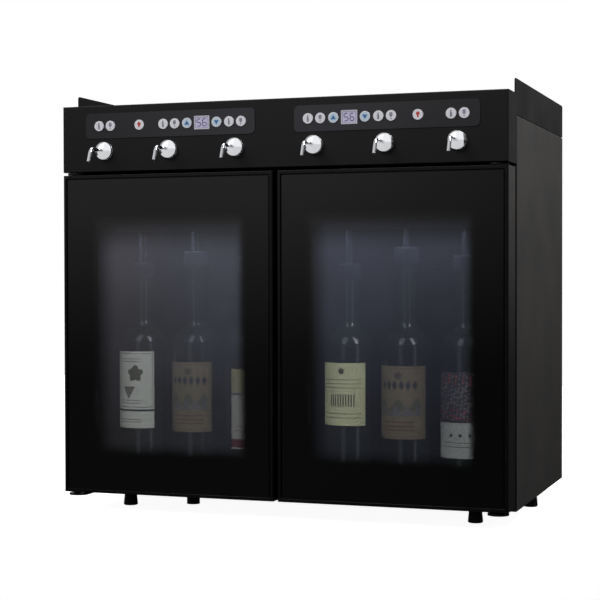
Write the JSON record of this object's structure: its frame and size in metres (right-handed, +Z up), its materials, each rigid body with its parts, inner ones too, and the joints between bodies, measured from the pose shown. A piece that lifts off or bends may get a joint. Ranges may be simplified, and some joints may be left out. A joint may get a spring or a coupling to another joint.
{
  "type": "wine preservation dispenser",
  "caption": "Black countertop wine preservation dispenser: glass-fronted cold compartments under a head with chrome taps, pour buttons and temperature displays.",
  "frame": {"origin": "centre of the whole part's footprint, from spout tips to gas inlet, on the surface that the feet stand on", "axes": "+X to the right seen from the front, +Y to the back, +Z up"},
  "size_m": [0.68, 0.5137, 0.632],
  "materials": {
    "aluminium": "satin",
    "black_plastic": "matte",
    "black_rubber": "matte",
    "bottle_glass": "gloss",
    "brass": "satin",
    "chrome": "polished",
    "circuit_board": "satin",
    "clear_glass": "gloss",
    "clear_tube": "satin",
    "display_window": "gloss",
    "door_black": "gloss",
    "foam": "matte",
    "galvanised": "satin",
    "grey_plastic": "satin",
    "grey_side_steel": "satin",
    "lamp_diffuser": "satin",
    "satin_black_steel": "satin",
    "silver_button": "satin",
    "steel_tube": "satin",
    "strip_film": "satin",
    "white_liner": "satin"
  },
  "bodies": {
    "cabinet": {"back_panel": "satin_black_steel", "base_pan": "galvanised", "bottles": "bottle_glass", "cold_sinks": "aluminium", "control_boards": "circuit_board", "control_strips": "strip_film", "dip_tubes": "steel_tube", "displays": "display_window", "face_frame": "satin_black_steel", "fan_covers": "grey_plastic", "fan_frames": "black_plastic", "feet": "black_rubber", "gas_inlet": "brass", "gas_manifold": "aluminium", "head_casing": "satin_black_steel", "hinge_plates": "satin_black_steel", "hoses": "clear_tube", "hot_sinks": "aluminium", "insulation": "foam", "lamps": "lamp_diffuser", "left_liner": "white_liner", "left_side_panel": "grey_side_steel", "pour_valves": "grey_plastic", "power_inlet": "black_plastic", "power_supply": "galvanised", "right_liner": "white_liner", "right_side_panel": "grey_side_steel", "stoppers": "black_plastic", "tap_hubs": "chrome", "tap_spouts": "chrome"},
    "left_door": {"left_door_frame": "door_black", "left_door_glass": "clear_glass", "left_door_inner_glass": "clear_glass", "left_door_gasket": "black_rubber"},
    "right_door": {"right_door_frame": "door_black", "right_door_glass": "clear_glass", "right_door_inner_glass": "clear_glass", "right_door_gasket": "black_rubber"},
    "cooler_button_left": {"cooler_button_left": "silver_button"},
    "cooler_button_right": {"cooler_button_right": "silver_button"},
    "large_pour_button_1": {"large_pour_button_1": "silver_button"},
    "large_pour_button_2": {"large_pour_button_2": "silver_button"},
    "large_pour_button_3": {"large_pour_button_3": "silver_button"},
    "large_pour_button_4": {"large_pour_button_4": "silver_button"},
    "large_pour_button_5": {"large_pour_button_5": "silver_button"},
    "large_pour_button_6": {"large_pour_button_6": "silver_button"},
    "light_button_left": {"light_button_left": "silver_button"},
    "light_button_right": {"light_button_right": "silver_button"},
    "small_pour_button_1": {"small_pour_button_1": "silver_button"},
    "small_pour_button_2": {"small_pour_button_2": "silver_button"},
    "small_pour_button_3": {"small_pour_button_3": "silver_button"},
    "small_pour_button_4": {"small_pour_button_4": "silver_button"},
    "small_pour_button_5": {"small_pour_button_5": "silver_button"},
    "small_pour_button_6": {"small_pour_button_6": "silver_button"},
    "warmer_button_left": {"warmer_button_left": "silver_button"},
    "warmer_button_right": {"warmer_button_right": "silver_button"},
    "inner_fan_rotor_left": {"inner_fan_rotor_left": "black_plastic"},
    "inner_fan_rotor_right": {"inner_fan_rotor_right": "black_plastic"},
    "outer_fan_rotor_left": {"outer_fan_rotor_left": "black_plastic"},
    "outer_fan_rotor_right": {"outer_fan_rotor_right": "black_plastic"}
  },
  "joints": [
    {"name": "left_door_hinge", "type": "hinge", "parent": "cabinet", "child": "left_door", "pos_m": [-0.33, -0.17715, 0.26875], "axis": [0, 0, -1], "range_deg": [0, 105]},
    {"name": "right_door_hinge", "type": "hinge", "parent": "cabinet", "child": "right_door", "pos_m": [0.33, -0.17715, 0.26875], "axis": [0, 0, 1], "range_deg": [0, 105]},
    {"name": "cooler_press_left", "type": "slide", "parent": "cabinet", "child": "cooler_button_left", "axis": [0, 1, 0], "range_m": [0, 0.0008], "stiffness_N_per_m": 1500},
    {"name": "cooler_press_right", "type": "slide", "parent": "cabinet", "child": "cooler_button_right", "axis": [0, 1, 0], "range_m": [0, 0.0008], "stiffness_N_per_m": 1500},
    {"name": "large_pour_press_1", "type": "slide", "parent": "cabinet", "child": "large_pour_button_1", "axis": [0, 1, 0], "range_m": [0, 0.0008], "stiffness_N_per_m": 1500},
    {"name": "large_pour_press_2", "type": "slide", "parent": "cabinet", "child": "large_pour_button_2", "axis": [0, 1, 0], "range_m": [0, 0.0008], "stiffness_N_per_m": 1500},
    {"name": "large_pour_press_3", "type": "slide", "parent": "cabinet", "child": "large_pour_button_3", "axis": [0, 1, 0], "range_m": [0, 0.0008], "stiffness_N_per_m": 1500},
    {"name": "large_pour_press_4", "type": "slide", "parent": "cabinet", "child": "large_pour_button_4", "axis": [0, 1, 0], "range_m": [0, 0.0008], "stiffness_N_per_m": 1500},
    {"name": "large_pour_press_5", "type": "slide", "parent": "cabinet", "child": "large_pour_button_5", "axis": [0, 1, 0], "range_m": [0, 0.0008], "stiffness_N_per_m": 1500},
    {"name": "large_pour_press_6", "type": "slide", "parent": "cabinet", "child": "large_pour_button_6", "axis": [0, 1, 0], "range_m": [0, 0.0008], "stiffness_N_per_m": 1500},
    {"name": "light_press_left", "type": "slide", "parent": "cabinet", "child": "light_button_left", "axis": [0, 1, 0], "range_m": [0, 0.0008], "stiffness_N_per_m": 1500},
    {"name": "light_press_right", "type": "slide", "parent": "cabinet", "child": "light_button_right", "axis": [0, 1, 0], "range_m": [0, 0.0008], "stiffness_N_per_m": 1500},
    {"name": "small_pour_press_1", "type": "slide", "parent": "cabinet", "child": "small_pour_button_1", "axis": [0, 1, 0], "range_m": [0, 0.0008], "stiffness_N_per_m": 1500},
    {"name": "small_pour_press_2", "type": "slide", "parent": "cabinet", "child": "small_pour_button_2", "axis": [0, 1, 0], "range_m": [0, 0.0008], "stiffness_N_per_m": 1500},
    {"name": "small_pour_press_3", "type": "slide", "parent": "cabinet", "child": "small_pour_button_3", "axis": [0, 1, 0], "range_m": [0, 0.0008], "stiffness_N_per_m": 1500},
    {"name": "small_pour_press_4", "type": "slide", "parent": "cabinet", "child": "small_pour_button_4", "axis": [0, 1, 0], "range_m": [0, 0.0008], "stiffness_N_per_m": 1500},
    {"name": "small_pour_press_5", "type": "slide", "parent": "cabinet", "child": "small_pour_button_5", "axis": [0, 1, 0], "range_m": [0, 0.0008], "stiffness_N_per_m": 1500},
    {"name": "small_pour_press_6", "type": "slide", "parent": "cabinet", "child": "small_pour_button_6", "axis": [0, 1, 0], "range_m": [0, 0.0008], "stiffness_N_per_m": 1500},
    {"name": "warmer_press_left", "type": "slide", "parent": "cabinet", "child": "warmer_button_left", "axis": [0, 1, 0], "range_m": [0, 0.0008], "stiffness_N_per_m": 1500},
    {"name": "warmer_press_right", "type": "slide", "parent": "cabinet", "child": "warmer_button_right", "axis": [0, 1, 0], "range_m": [0, 0.0008], "stiffness_N_per_m": 1500},
    {"name": "inner_fan_spin_left", "type": "hinge", "parent": "cabinet", "child": "inner_fan_rotor_left", "pos_m": [-0.168, 0.10185, 0.348], "axis": [0, 1, 0], "continuous": true},
    {"name": "inner_fan_spin_right", "type": "hinge", "parent": "cabinet", "child": "inner_fan_rotor_right", "pos_m": [0.168, 0.10185, 0.348], "axis": [0, 1, 0], "continuous": true},
    {"name": "outer_fan_spin_left", "type": "hinge", "parent": "cabinet", "child": "outer_fan_rotor_left", "pos_m": [-0.168, 0.21785, 0.348], "axis": [0, 1, 0], "continuous": true},
    {"name": "outer_fan_spin_right", "type": "hinge", "parent": "cabinet", "child": "outer_fan_rotor_right", "pos_m": [0.168, 0.21785, 0.348], "axis": [0, 1, 0], "continuous": true}
  ]
}
